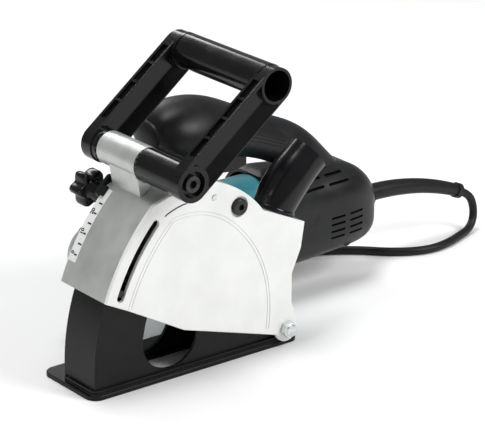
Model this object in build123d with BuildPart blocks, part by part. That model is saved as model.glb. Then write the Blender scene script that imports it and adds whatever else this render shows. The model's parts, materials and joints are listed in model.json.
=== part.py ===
from build123d import *
from math import cos, pi, radians, sin, tan
import os

os.makedirs("parts", exist_ok=True)

# ---------------------------------------------------------------- driving dimensions (mm)
# Origin: the point of the sole straight below the depth pivot, on the base's mid-plane.
# +X runs to the motor end, -X to the front, -Y to the cover side, +Y to the motor side, +Z up.
PIVOT_H = 14.5  # pivot axis above the sole
FIT = 0.05  # radial play of a turning fit
GAP = 0.3  # play between bodies that pass each other

SPINDLE_R = 106.9  # pivot axis to spindle axis
SPINDLE_RISE = 27.0  # spindle's angle above the front line at depth 0, in degrees
TRAVEL = 17.1  # plunge from depth 0 to 30, in degrees
MOTOR_Y = 76.0  # plane of the motor and of the D-handle

CASE_NEAR, CASE_FAR = -26.15, 32.35  # outer faces of side cover and wheel case
WALL = 3.0
RIM_R = 178.0  # outer radius of the case rim about the pivot
LUG_R = 10.5
SLOT_R = 166.7  # radius of both arc slots about the pivot

BASE_HALF = 19.5  # half width over the base's side walls
BASE_WALL = 2.5
BASE_R = 174.2  # outer radius of the base's front wall
BASE_RISE = 26.0  # top edge of the base's side walls, in degrees
WHEEL_SLOT_R = 25.4  # half width of the slots that the spindle moves in
SOLE_FRONT, SOLE_REAR = -178.0, 16.0
SOLE_NEAR, SOLE_FAR = -22.5, 45.0
SOLE_T = 3.5
FLANGE_TOP = 7.5

BOLT_R = 4.0  # pivot bolt
PIN_R = 2.6  # depth guide pin
STUD_R = 3.0  # stopper stud
STOP_RISE = 44.2  # stopper stud at the full depth of 30 mm

HUB = (-113.3, 152.0)  # front handle's hinge axis
GRIP = (-37.8, 211.0)  # front handle's bar
ARM_R = 13.8
ARM_NEAR, ARM_FAR = (-60.5, -49.2), (49.4, 61.3)
BOSS_R = 13.0
BOSS_NEAR, BOSS_FAR = -6.9, 44.2

PORT = (1.5, 91.0)  # middle of the dust port
PORT_Y = -5.65
PORT_TILT = 24.5  # degrees that the port leans to the rear

SEAT_R = 11.1  # wheel bore seat
SEAT_FACE = 9.0  # wheel seat face of the inner flange
GEAR_END = 98.0  # far end of the gear housing
FAR_BEARING = 94.0  # far face of the spindle's far bearing
MOTOR_R = 37.0
MOTOR_FRONT, MOTOR_REAR = -48.0, 45.0
SHAFT_R = 4.0

CORD_D = 7.0


def polar(radius, rise):
    """Point at a radius from the pivot, rise degrees above the line to the front."""
    return (-radius * cos(radians(rise)), radius * sin(radians(rise)))


def side(y):
    """Plane across the tool: local x is X, local y is height above the pivot, normal -Y."""
    return Plane(origin=(0, y, PIVOT_H), x_dir=(1, 0, 0), z_dir=(0, -1, 0))


SPINDLE = polar(SPINDLE_R, SPINDLE_RISE)
AXIS_Z = PIVOT_H + SPINDLE[1]  # height of the motor axis at rest
GUIDE_PIN = polar(SLOT_R, 23.4)
STUD = polar(SLOT_R, STOP_RISE)


def across(x):
    """Plane square to the motor axis: local x is +Y, local y is +Z, normal +X."""
    return Plane(origin=(x, MOTOR_Y, AXIS_Z), x_dir=(0, 1, 0), z_dir=(1, 0, 0))


def bar(plane, radius, length, centre=(0, 0), bore=0.0, mode=Mode.ADD):
    """Round bar or tube in the active part, from the plane along its normal."""
    with BuildSketch(plane) as face:
        with Locations(centre):
            Circle(radius)
            if bore:
                Circle(bore, mode=Mode.SUBTRACT)
    extrude(face.sketch, amount=length, mode=mode)


def save(piece, name):
    """Label a finished piece and write its STEP file."""
    piece.part.label = name
    export_step(piece.part, f"parts/{name}.step")


# ---------------------------------------------------------------- wheel case
RIM_LOW, RIM_HIGH = 20.3, 46.0
TOP_R = 90.0  # rear of the case top, about the spindle
PORT_LEFT, PORT_RIGHT = (-15.6, 98.5), (17.0, 83.5)
LOWER_EDGE = [(-8.0, -3.6), (-97.2, 23.8), (-146.5, 51.3)]
REAR_EDGE = [(13.5, 63.0), (5.0, 44.0), (4.8, 20.0), (9.5, 4.5)]
PORT_BORE = 14.0
BEARING_BARREL = 23.6
SPACER_R = 6.7  # pivot spacers between case and base


def case_outline():
    """Outline of the case's side faces, drawn into the active line."""
    rim = CenterArc((0, 0), RIM_R, 180 - RIM_HIGH, RIM_HIGH - RIM_LOW)
    top = CenterArc(SPINDLE, TOP_R, 36, 35)
    Polyline(rim @ 0, (-110.5, 132.2), top @ 1)
    Polyline(top @ 0, PORT_LEFT, PORT_RIGHT, *REAR_EDGE, *LOWER_EDGE, rim @ 1)


def case_face(plane):
    """Side face of the case, with the round lug about the pivot."""
    with BuildSketch(plane) as face:
        with BuildLine():
            case_outline()
        make_face()
        Circle(LUG_R)
    return face.sketch


def case_hollow(plane):
    """Room inside the case's rim, open along the lower edge."""
    with BuildSketch(plane) as face:
        with BuildLine():
            case_outline()
        make_face()
        offset(amount=-WALL, kind=Kind.INTERSECTION)
        with BuildLine():
            Polyline(
                (-6.0, 8.0), (-97.2, 30.0), (-172.0, 76.0), (-196.0, 50.0), (-97.0, -5.0), (-6.0, -20.0),
                close=True,
            )
        make_face()
        Circle(RIM_R - WALL, mode=Mode.INTERSECT)
        Circle(LUG_R)
    return face.sketch


def arc_slot(plane, low, high, width):
    """Arc-shaped slot about the pivot, with its end centres at two rises."""
    with BuildSketch(plane) as face:
        arc_band(SLOT_R - width / 2, SLOT_R + width / 2, low, high)
        with Locations(polar(SLOT_R, low), polar(SLOT_R, high)):
            Circle(width / 2)
    return face.sketch


def arc_band(inner_r, outer_r, low, high):
    """Flat band about the pivot between two radii and two rises, in the active sketch."""
    with BuildLine(mode=Mode.PRIVATE) as edge:
        outer = CenterArc((0, 0), outer_r, 180 - high, high - low)
        inner = CenterArc((0, 0), inner_r, 180 - high, high - low)
        Line(outer @ 0, inner @ 0)
        Line(outer @ 1, inner @ 1)
    make_face(edge.line)


def neck_face(plane):
    """Neck between the rim and the front handle's boss."""
    with BuildSketch(plane) as face:
        with BuildLine():
            Polyline(
                polar(RIM_R - 1.5, 46.4), polar(RIM_R - 1.5, 50.6), (-101.5, 148.0), (-125.0, 148.0),
                close=True,
            )
        make_face()
        with Locations(HUB):
            Circle(BOSS_R)
    return face.sketch


def port_plane(height):
    """Plane of the dust port, raised along the port's axis."""
    lean = radians(PORT_TILT)
    return Plane(
        origin=(PORT[0] + height * sin(lean), PORT_Y, PIVOT_H + PORT[1] + height * cos(lean)),
        x_dir=(0, 1, 0),
        z_dir=(sin(lean), 0, cos(lean)),
    )


def build_wheel_case():
    """Far wall, rim, neck and handle boss in one casting."""
    far_inner = CASE_FAR - WALL
    near_inner = CASE_NEAR + WALL
    with BuildPart() as wheel_case:
        extrude(case_face(side(CASE_FAR)), amount=CASE_FAR - near_inner)
        extrude(case_hollow(side(far_inner)), amount=far_inner - near_inner, mode=Mode.SUBTRACT)
        extrude(neck_face(side(28.5)), amount=28.5 - BOSS_NEAR)
        bar(side(BOSS_FAR), BOSS_R, BOSS_FAR - 28.5, HUB)
        bar(side(BOSS_FAR + 1), BOLT_R + GAP, BOSS_FAR - BOSS_NEAR + 2, HUB, mode=Mode.SUBTRACT)
        # serrated seats at both ends of the boss
        for face_y, depth in ((BOSS_NEAR + 2.0, 2.0), (BOSS_FAR, 2.0)):
            bar(side(face_y), BOSS_R + 1, depth, HUB, bore=11.2, mode=Mode.SUBTRACT)
        # pivot barrel, spindle opening, stopper slot and dust port
        bar(side(far_inner), SPACER_R, far_inner - BASE_HALF - GAP)
        bar(side(CASE_FAR), BOLT_R + FIT, CASE_FAR - BASE_HALF, mode=Mode.SUBTRACT)
        bar(side(CASE_FAR), BEARING_BARREL, WALL + 1, SPINDLE, mode=Mode.SUBTRACT)
        extrude(arc_slot(side(CASE_FAR), 26.6, 45.6, 2 * STUD_R + 1.2), amount=WALL, mode=Mode.SUBTRACT)
        bar(port_plane(-9), PORT_BORE, 15, mode=Mode.SUBTRACT)
        for x, z in GEAR_BOLTS:
            bar(side(CASE_FAR), 2.0, WALL, (x, z), mode=Mode.SUBTRACT)
        bar(side(far_inner), 6.0, far_inner - near_inner, COVER_SCREW)
        bar(side(0), 2.5, -near_inner, COVER_SCREW, mode=Mode.SUBTRACT)
    return wheel_case


GEAR_BOLT_R = 26.0  # bolt circle about the spindle
GEAR_BOLTS = [
    (SPINDLE[0] + GEAR_BOLT_R * cos(radians(turn)), SPINDLE[1] + GEAR_BOLT_R * sin(radians(turn)))
    for turn in (45, 135, 225, 315)
]
COVER_SCREW = (-45.7, 110.0)
COVER_DOWEL = (-68.8, 122.3)


def cover_line(plane, inset):
    """One run of the D-shaped line moulded into the cover."""
    with BuildSketch(plane) as face:
        with BuildLine() as path:
            front = CenterArc((0, 0), 157.0 - inset, 137.5, 22.5)
            crown = CenterArc(SPINDLE, 67.0 - inset, 50, 50)
            Line(front @ 0, crown @ 1)
            Spline(crown @ 0, (-23.5 - inset, 60.0), (-18.0 - inset, 4.0))
        trace(path.line, line_width=0.9)
    return face.sketch


def build_side_cover():
    """Near wall of the case, taken off to change the wheels."""
    near_inner = CASE_NEAR + WALL
    with BuildPart() as side_cover:
        extrude(case_face(side(near_inner)), amount=WALL)
        chamfer(side_cover.faces().sort_by(Axis.Y)[0].edges(), 0.5)
        extrude(arc_slot(side(near_inner), 22.4, 42.9, 6.6), amount=WALL, mode=Mode.SUBTRACT)
        for inset in (0.0, 2.6):
            extrude(cover_line(side(CASE_NEAR + 0.5), inset), amount=1, mode=Mode.SUBTRACT)
        with BuildSketch(side(CASE_NEAR + 0.7)) as slit:
            with BuildLine():
                Spline((-114.0, 117.7), (-105.0, 121.8), (-93.9, 123.4))
            trace(line_width=1.1)
        extrude(slit.sketch, amount=1, mode=Mode.SUBTRACT)
        # pivot lug spacer towards the base wall
        bar(side(-BASE_HALF - GAP), SPACER_R, -BASE_HALF - GAP - near_inner)
        bar(side(-BASE_HALF), BOLT_R + FIT, WALL + 6, mode=Mode.SUBTRACT)
        bar(side(near_inner), 3.2, WALL, COVER_SCREW, mode=Mode.SUBTRACT)
        bar(side(CASE_NEAR + 1.6), 8.0, 2, COVER_SCREW, mode=Mode.SUBTRACT)
        bar(side(near_inner), 2.5, WALL, COVER_DOWEL, mode=Mode.SUBTRACT)
    return side_cover


def build_cover_fixings():
    """Cap screw and the bright dowel."""
    with BuildPart() as cover_screw:
        bar(side(CASE_NEAR + 1.6), 6.5, 4.2, COVER_SCREW)
        bar(side(-2.0), 2.5, -2.0 - CASE_NEAR - 1.6, COVER_SCREW)
        with BuildSketch(side(CASE_NEAR + 0.4)) as socket:
            with Locations(COVER_SCREW):
                RegularPolygon(2.6, 6)
        extrude(socket.sketch, amount=4, mode=Mode.SUBTRACT)
        chamfer(cover_screw.faces().sort_by(Axis.Y)[0].edges().sort_by(SortBy.LENGTH)[-1], 0.8)
    save(cover_screw, "cover_screw")
    with BuildPart() as cover_dowel:
        bar(side(-14.0), 2.5, -14.0 - CASE_NEAR + 0.6, COVER_DOWEL)
        chamfer(cover_dowel.faces().sort_by(Axis.Y)[0].edges(), 0.4)
    save(cover_dowel, "cover_dowel")


def build_scale():
    """Depth scale wrapped on the rim, 10 mm wide, beside the far edge."""
    with BuildPart() as depth_scale:
        with BuildSketch(side(CASE_FAR)) as band:
            with BuildLine():
                outer = CenterArc((0, 0), RIM_R + 0.25, 180 - 45.1, 19.3)
                inner = CenterArc((0, 0), RIM_R, 180 - 45.1, 19.3)
                Line(outer @ 0, inner @ 0)
                Line(outer @ 1, inner @ 1)
            make_face()
        extrude(band.sketch, amount=9.5)
    save(depth_scale, "depth_scale")


# ---------------------------------------------------------------- base
def base_wall_face(plane):
    """Side wall of the base: a wedge from the pivot boss to the front wall."""
    with BuildSketch(plane) as face:
        with BuildLine():
            front = CenterArc((0, 0), BASE_R, 180 - BASE_RISE, BASE_RISE + 3.6)
            Polyline(front @ 1, (12.0, -PIVOT_H + SOLE_T), (9.0, 0.0), polar(9.0, 100.0), front @ 0)
        make_face()
        with BuildSketch(mode=Mode.PRIVATE) as slot:
            with BuildLine():
                low = SPINDLE_RISE - TRAVEL + 0.3
                outer = CenterArc((0, 0), SPINDLE_R + WHEEL_SLOT_R, 180 - BASE_RISE - 8, BASE_RISE + 8 - low)
                inner = CenterArc((0, 0), SPINDLE_R - WHEEL_SLOT_R, 180 - BASE_RISE - 8, BASE_RISE + 8 - low)
                Line(outer @ 0, inner @ 0)
                Line(outer @ 1, inner @ 1)
            make_face()
            with Locations(polar(SPINDLE_R, low)):
                Circle(WHEEL_SLOT_R)
        add(slot.sketch, mode=Mode.SUBTRACT)
        Circle(BASE_R, mode=Mode.INTERSECT)
    return face.sketch


def build_base_frame():
    """Pressed base: two slotted side walls, a curved front wall and a stepped flange."""
    inner = BASE_HALF - BASE_WALL
    with BuildPart() as base_frame:
        extrude(base_wall_face(side(BASE_HALF)), amount=BASE_WALL)
        extrude(base_wall_face(side(-inner)), amount=BASE_WALL)
        with BuildSketch(side(BASE_HALF)) as front:
            with BuildLine():
                outer = CenterArc((0, 0), BASE_R, 180 - BASE_RISE, BASE_RISE + 3.6)
                inner_arc = CenterArc((0, 0), BASE_R - BASE_WALL, 180 - BASE_RISE, BASE_RISE + 3.6)
                Line(outer @ 0, inner_arc @ 0)
                Line(outer @ 1, inner_arc @ 1)
            make_face()
        extrude(front.sketch, amount=2 * BASE_HALF)
        # flange round the walls' feet, open underneath for the wheels
        with BuildSketch(Plane.XY.offset(SOLE_T)) as flange:
            with Locations(((SOLE_FRONT + SOLE_REAR) / 2, 0)):
                RectangleRounded(SOLE_REAR - SOLE_FRONT - 4, 2 * BASE_HALF + 4, 6)
            with Locations((-107.0, 0)):
                Rectangle(130.0, 2 * inner, mode=Mode.SUBTRACT)
        extrude(flange.sketch, amount=FLANGE_TOP - SOLE_T)
        with BuildSketch(Plane.XY.offset(SOLE_T + 1.6)) as groove:
            with Locations(((SOLE_FRONT + SOLE_REAR) / 2, 0)):
                RectangleRounded(SOLE_REAR - SOLE_FRONT + 4, 2 * BASE_HALF + 12, 6)
                RectangleRounded(SOLE_REAR - SOLE_FRONT - 5.6, 2 * BASE_HALF + 2.4, 5.2, mode=Mode.SUBTRACT)
        extrude(groove.sketch, amount=0.9, mode=Mode.SUBTRACT)
        # solid block with the pivot bore
        with BuildSketch(side(inner)) as block:
            with BuildLine():
                Polyline(
                    (-40, SOLE_T - PIVOT_H), (12, SOLE_T - PIVOT_H), (8.5, 2.5), (-8.0, 8.0), (-36, -2.0),
                    close=True,
                )
            make_face()
            Circle(8.8)
        extrude(block.sketch, amount=2 * inner)
        bar(side(BASE_HALF), BOLT_R, 2 * BASE_HALF, mode=Mode.SUBTRACT)
        bar(side(8.0), 14.5, 16.0, mode=Mode.SUBTRACT)
        bar(side(-inner + 1), PIN_R, BASE_WALL + 2, GUIDE_PIN, mode=Mode.SUBTRACT)
        for x, y in SOLE_SCREWS:
            bar(Plane.XY.offset(SOLE_T), 2.0, FLANGE_TOP - SOLE_T, (x, y), mode=Mode.SUBTRACT)
    save(base_frame, "base_frame")


SOLE_SCREWS = [(-173.0, -14.0), (-173.0, 14.0), (-30.0, -14.0), (-30.0, 14.0)]


def build_sole():
    """Flat sole plate with the wheel slot, wider on the motor side."""
    with BuildPart() as sole_plate:
        with BuildSketch() as plate:
            with Locations(((SOLE_FRONT + SOLE_REAR) / 2, (SOLE_NEAR + SOLE_FAR) / 2)):
                RectangleRounded(SOLE_REAR - SOLE_FRONT, SOLE_FAR - SOLE_NEAR, 9)
            with Locations((-107.0, 0)):
                Rectangle(124.0, 2 * (BASE_HALF - BASE_WALL) - 3, mode=Mode.SUBTRACT)
        extrude(plate.sketch, amount=SOLE_T)
        chamfer(sole_plate.faces().sort_by(Axis.Z)[-1].outer_wire().edges(), 0.6)
        for x, y in SOLE_SCREWS:
            bar(Plane.XY, 2.0, SOLE_T, (x, y), mode=Mode.SUBTRACT)
            bar(Plane.XY, 3.8, 1.8, (x, y), mode=Mode.SUBTRACT)
    save(sole_plate, "sole_plate")
    with BuildPart() as sole_screws:
        for x, y in SOLE_SCREWS:
            bar(Plane.XY.offset(0.4), 3.6, 1.4, (x, y))
            bar(Plane.XY.offset(1.8), 2.0, FLANGE_TOP - 1.8, (x, y))
    save(sole_screws, "sole_screws")


def build_pivot():
    """Pivot bolt with hex head on the cover side, nut on the far side, clip and spring."""
    with BuildPart() as pivot_bolt:
        bar(side(CASE_FAR + 7.0), BOLT_R, CASE_FAR + 7.0 - CASE_NEAR)
        with BuildSketch(side(CASE_NEAR - GAP)) as head:
            RegularPolygon(6.6, 6, rotation=12)
        extrude(head.sketch, amount=5.0)
        bar(side(CASE_NEAR), BOLT_R, GAP)
        bar(side(CASE_NEAR - 5.3), 4.4, 0.8)
        chamfer(pivot_bolt.faces().sort_by(Axis.Y)[0].edges(), 0.4)
    save(pivot_bolt, "pivot_bolt")
    with BuildPart() as pivot_nut:
        with BuildSketch(side(CASE_FAR + 6.0)) as nut:
            RegularPolygon(6.6, 6)
            Circle(BOLT_R, mode=Mode.SUBTRACT)
        extrude(nut.sketch, amount=5.4)
    save(pivot_nut, "pivot_nut")
    with BuildPart() as guide_pin:
        bar(side(-BASE_HALF + BASE_WALL - 0.5), PIN_R, 8.2, GUIDE_PIN)
        chamfer(guide_pin.faces().sort_by(Axis.Y)[0].edges(), 0.5)
    save(guide_pin, "guide_pin")
    with BuildPart() as return_spring:
        turns, wire = 5, 1.1
        for turn in range(turns):
            place = Plane(origin=(0, -4.2 + turn * 2.1, PIVOT_H), x_dir=(1, 0, 0), z_dir=(0, -1, 0))
            with BuildSketch(place) as rings:
                Circle(9.0)
                Circle(6.8, mode=Mode.SUBTRACT)
            extrude(rings.sketch, amount=wire, both=True)
    save(return_spring, "return_spring")


# ---------------------------------------------------------------- front handle
ARM_RISE = 38.0
ARM_LENGTH = 95.8
LIP = 3.0  # flange thickness round the arm's web
TEETH = 18


def on_arm(along, ahead=0.0):
    """Point on the arm: distance from the hinge and offset towards the front edge."""
    rise = radians(ARM_RISE)
    return (
        HUB[0] + along * cos(rise) - ahead * sin(rise),
        HUB[1] + along * sin(rise) + ahead * cos(rise),
    )


def arm_face(plane):
    """Arm outline: a stadium from the hinge hub to the grip bar."""
    with BuildSketch(plane) as face:
        SlotCenterPoint(on_arm(ARM_LENGTH / 2), on_arm(ARM_LENGTH), 2 * ARM_R)
    return face.sketch


def arm_recess(face_y, inward):
    """Recess in one side of an arm: a flat web with a sloping rear wall."""
    rise = radians(ARM_RISE)
    start, finish, deep, thin = 8.0, 88.0, 4.0, 0.5
    place = Plane(
        origin=(HUB[0] + start * cos(rise), face_y, PIVOT_H + HUB[1] + start * sin(rise)),
        x_dir=(0, inward, 0),
        z_dir=(inward * cos(rise), 0, inward * sin(rise)),
    )
    with BuildPart() as recess:
        with BuildSketch(place):
            with BuildLine():
                Polyline(
                    (-1.0, ARM_R - LIP), (deep, ARM_R - LIP), (deep, -2.0),
                    (thin, 1.2 - ARM_R), (-1.0, 1.2 - ARM_R), close=True,
                )
            make_face()
        extrude(amount=inward * (finish - start))
        for centre in (HUB, on_arm(ARM_LENGTH)):
            bar(side(face_y + 12), ARM_R, 24.0, centre, mode=Mode.SUBTRACT)
    return recess.part


def build_front_handle():
    """Moulded loop handle: two ribbed arms, a hollow grip tube and the toothed hubs."""
    pocket = 2.4
    with BuildPart() as front_handle:
        for near, far in (ARM_NEAR, ARM_FAR):
            extrude(arm_face(side(far)), amount=far - near)
            add(arm_recess(near, 1), mode=Mode.SUBTRACT)
            add(arm_recess(far, -1), mode=Mode.SUBTRACT)
            # row of pockets in the front edge, left open towards the grip side
            middle = (near + far) / 2
            for start in (14.0, 33.0, 52.0, 71.0):
                with BuildSketch(side(middle + 3.2)) as row:
                    with BuildLine():
                        low, high = ARM_R - pocket, ARM_R + 1
                        Polyline(
                            on_arm(start, low), on_arm(start + 17, low),
                            on_arm(start + 17, high), on_arm(start, high), close=True,
                        )
                    make_face()
                extrude(row.sketch, amount=6.4, mode=Mode.SUBTRACT)
        bar(side(ARM_FAR[0]), 12.9, ARM_FAR[0] - ARM_NEAR[1], GRIP)
        bar(side(ARM_FAR[0] + 1.5), 14.3, 4.0, GRIP)
        bar(side(ARM_NEAR[1] + 2.5), 14.3, 4.0, GRIP)
        bar(side(ARM_FAR[1]), 11.6, ARM_FAR[1] - ARM_NEAR[0], GRIP, mode=Mode.SUBTRACT)
        bar(side(BOSS_NEAR), BOSS_R, BOSS_NEAR - ARM_NEAR[1], HUB)
        bar(side(ARM_FAR[0]), BOSS_R, ARM_FAR[0] - BOSS_FAR - GAP, HUB)
        with BuildSketch(side(BOSS_NEAR - 1.0)) as rib:
            with BuildLine():
                Line(on_arm(12.0, 5.0), on_arm(14.4, 5.0))
            trace(line_width=2.0)
        extrude(rib.sketch, amount=BOSS_NEAR - ARM_NEAR[1] - 1.0)
        # teeth that run over the shoulders of the boss
        for start in (BOSS_NEAR + 1.7, BOSS_FAR + GAP):
            with BuildSketch(side(start)) as ring:
                with Locations(HUB):
                    Circle(BOSS_R)
                    Circle(11.2 + GAP, mode=Mode.SUBTRACT)
                    with PolarLocations(BOSS_R - 1, TEETH):
                        Rectangle(5, 2.3, mode=Mode.SUBTRACT)
            extrude(ring.sketch, amount=2.0)
        bar(side(ARM_NEAR[0] + 5), 10.0, 5.0, HUB, mode=Mode.SUBTRACT)
        bar(side(ARM_FAR[1]), BOLT_R, 130, HUB, mode=Mode.SUBTRACT)
        with BuildSketch(side(ARM_FAR[1])) as nut_seat:
            with Locations(HUB):
                RegularPolygon(7.6, 6)
        extrude(nut_seat.sketch, amount=6.0, mode=Mode.SUBTRACT)
    save(front_handle, "front_handle")
    with BuildPart() as handle_bolt:
        bar(side(ARM_NEAR[0] + 5), 6.3, 4.6, HUB)
        bar(side(ARM_FAR[1] - 0.5), BOLT_R, ARM_FAR[1] - 0.5 - ARM_NEAR[0] - 5, HUB)
        with BuildSketch(side(ARM_NEAR[0] + 4)) as socket:
            with Locations(HUB):
                RegularPolygon(3.4, 6)
        extrude(socket.sketch, amount=5, mode=Mode.SUBTRACT)
    save(handle_bolt, "handle_bolt")
    with BuildPart() as handle_nut:
        with BuildSketch(side(ARM_FAR[1] - 0.6)) as nut:
            with Locations(HUB):
                RegularPolygon(7.3, 6)
                Circle(BOLT_R, mode=Mode.SUBTRACT)
        extrude(nut.sketch, amount=5.4)
    save(handle_nut, "handle_nut")


# ---------------------------------------------------------------- depth stopper
def build_stopper():
    """Slide with a pointer over the scale, its stud and the clamping knob."""
    plate = CASE_FAR + GAP
    with BuildPart() as depth_stopper:
        with BuildSketch(side(plate + 3.6)) as body:
            with BuildLine():
                outer = CenterArc((0, 0), 180.9, 180 - 48.6, 6.2)
                inner = CenterArc((0, 0), 159.0, 180 - 48.6, 6.2)
                Line(outer @ 0, inner @ 0)
                Line(outer @ 1, inner @ 1)
            make_face()
            fillet(body.vertices(), 3.0)
        extrude(body.sketch, amount=3.6)
        with BuildSketch(side(plate + 1)) as pointer:
            with BuildLine():
                outer = CenterArc((0, 0), 180.7, 180 - 45.4, 2.6)
                inner = CenterArc((0, 0), 178.75, 180 - 45.4, 2.6)
                Line(outer @ 0, inner @ 0)
                Line(outer @ 1, inner @ 1)
            make_face()
        extrude(pointer.sketch, amount=6.0)
        # stud with its flat head inside the case
        bar(side(70.0), STUD_R, 70.0 - 21.0, STUD)
        bar(side(24.0), 5.0, 3.4, STUD)
    save(depth_stopper, "depth_stopper")
    with BuildPart() as stopper_knob:
        bar(side(70.0), 12.6, 16.0, STUD)
        with BuildSketch(side(69.2)) as lobes:
            with Locations(STUD):
                with PolarLocations(10.6, 6):
                    Circle(4.2)
        extrude(lobes.sketch, amount=14.4)
        bar(side(54.0), 7.5, 54.0 - plate - 3.6 - GAP, STUD)
        bar(side(66.0), STUD_R + FIT, 40.0, STUD, mode=Mode.SUBTRACT)
        bar(side(70.0), STUD_R + GAP, 5.0, STUD, mode=Mode.SUBTRACT)
        chamfer(stopper_knob.faces().sort_by(Axis.Y)[0].outer_wire().edges(), 0.8)
    save(stopper_knob, "stopper_knob")


# ---------------------------------------------------------------- dust nozzle
def build_nozzle():
    """Elbow that swivels in the port and points up and to the rear."""
    knee, mouth, bend = (8.2, 105.7), (36.0, 129.0), 30.0
    with BuildPart() as dust_nozzle:
        with BuildLine(side(PORT_Y)) as path:
            FilletPolyline(PORT, knee, mouth, radius=bend)
        with BuildSketch(Plane(path.line @ 0, x_dir=(0, 1, 0), z_dir=path.line % 0)):
            Circle(16.8)
            Circle(14.4, mode=Mode.SUBTRACT)
        sweep(path=path.line)
        with BuildSketch(port_plane(1.2)) as trim:
            Circle(30)
        extrude(trim.sketch, amount=-10, mode=Mode.SUBTRACT)
        bar(port_plane(1.2), PORT_BORE - GAP, -8.0, bore=11.6)
        bar(port_plane(1.2), 17.8, 2.4, bore=11.6)
    save(dust_nozzle, "dust_nozzle")
    with BuildPart() as nozzle_seal:
        bar(port_plane(0.1), 17.2, 0.9, bore=PORT_BORE)
    save(nozzle_seal, "nozzle_seal")


# ---------------------------------------------------------------- spindle and wheel seat
BALL_R, SHANK_R = 16.0, 6.0
THREAD_R = 7.0
BALL_FAR = 35.0
GEAR_NEAR, GEAR_FAR = 55.0, 66.0
BOX_FAR = 38.4  # plane between bearing box and gear housing
BOX_R = 28.8


def build_spindle():
    """Output shaft with its flange, spacers, lock nut and bevel gear."""
    with BuildPart() as spindle:
        bar(side(FAR_BEARING), SHANK_R, FAR_BEARING - 12.0, SPINDLE)
        bar(side(24.8), 8.0, 8.4, SPINDLE)
        bar(side(16.4), THREAD_R, 32.4, SPINDLE)
        chamfer(spindle.faces().sort_by(Axis.Y)[0].edges(), 0.8)
    save(spindle, "spindle")
    with BuildPart() as inner_flange:
        bar(side(16.4), 22.0, 16.4 - SEAT_FACE, SPINDLE)
        bar(side(SEAT_FACE), SEAT_R, 2.2, SPINDLE)
        bar(side(SEAT_FACE + 0.8), 18.0, 0.8, SPINDLE, bore=SEAT_R, mode=Mode.SUBTRACT)
        bar(side(16.4), THREAD_R, 20.0, SPINDLE, mode=Mode.SUBTRACT)
    save(inner_flange, "inner_flange")
    with BuildPart() as spacer_rings:
        for far, thick in ((SEAT_FACE - 2.2, 3.0), (SEAT_FACE - 5.2, 6.0)):
            bar(side(far), 15.0, thick, SPINDLE, bore=THREAD_R)
    save(spacer_rings, "spacer_rings")
    with BuildPart() as lock_nut:
        bar(side(-2.2), 20.0, 4.0, SPINDLE, bore=THREAD_R)
        bar(side(-6.2), 13.0, 5.0, SPINDLE, bore=THREAD_R)
        with BuildSketch(side(-8.2)) as pin_holes:
            with Locations(SPINDLE):
                with PolarLocations(10.0, 4):
                    Circle(1.9)
        extrude(pin_holes.sketch, amount=4, mode=Mode.SUBTRACT)
    save(lock_nut, "lock_nut")
    with BuildPart() as bevel_gear:
        bar(side(GEAR_FAR), 26.0, GEAR_FAR - GEAR_NEAR, SPINDLE)
        with BuildSketch(side(GEAR_FAR)) as grooves:
            with Locations(SPINDLE):
                with PolarLocations(22.5, 36):
                    Rectangle(9.0, 1.7)
        extrude(grooves.sketch, amount=2.6, mode=Mode.SUBTRACT)
        bar(side(GEAR_FAR), 18.5, 5.0, SPINDLE, bore=10.0, mode=Mode.SUBTRACT)
        bar(side(GEAR_FAR), SHANK_R, 20.0, SPINDLE, mode=Mode.SUBTRACT)
    save(bevel_gear, "bevel_gear")


def build_bearings():
    """Spindle bearings, the box that holds the lower one, and the gear bolts."""
    with BuildPart() as spindle_bearings:
        bar(side(BALL_FAR), BALL_R, 10.0, SPINDLE, bore=SHANK_R + FIT)
        bar(side(FAR_BEARING), 9.5, 8.0, SPINDLE, bore=SHANK_R + FIT)
    save(spindle_bearings, "spindle_bearings")
    with BuildPart() as bearing_box:
        bar(side(BOX_FAR), BOX_R, BOX_FAR - CASE_FAR, SPINDLE)
        bar(side(CASE_FAR), BEARING_BARREL - GAP, WALL, SPINDLE)
        bar(side(CASE_FAR), 22.2, CASE_FAR - 22.4, SPINDLE)
        bar(side(BALL_FAR), BALL_R, 10.0, SPINDLE, mode=Mode.SUBTRACT)
        bar(side(BOX_FAR), 12.0, 20.0, SPINDLE, mode=Mode.SUBTRACT)
        for x, z in GEAR_BOLTS:
            bar(side(BOX_FAR), 2.0, 10.0, (x, z), mode=Mode.SUBTRACT)
    save(bearing_box, "bearing_box")
    with BuildPart() as gear_bolts:
        for x, z in GEAR_BOLTS:
            bar(side(45.0), 2.0, 45.0 - CASE_FAR + WALL, (x, z))
            bar(side(CASE_FAR - WALL), 3.4, 3.0, (x, z))
    save(gear_bolts, "gear_bolts")


# ---------------------------------------------------------------- gear housing
LOCK_PIN = (SPINDLE[0] - 4.0, SPINDLE[1] + 14.0)
HOUSING_END = -48.0


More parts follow.
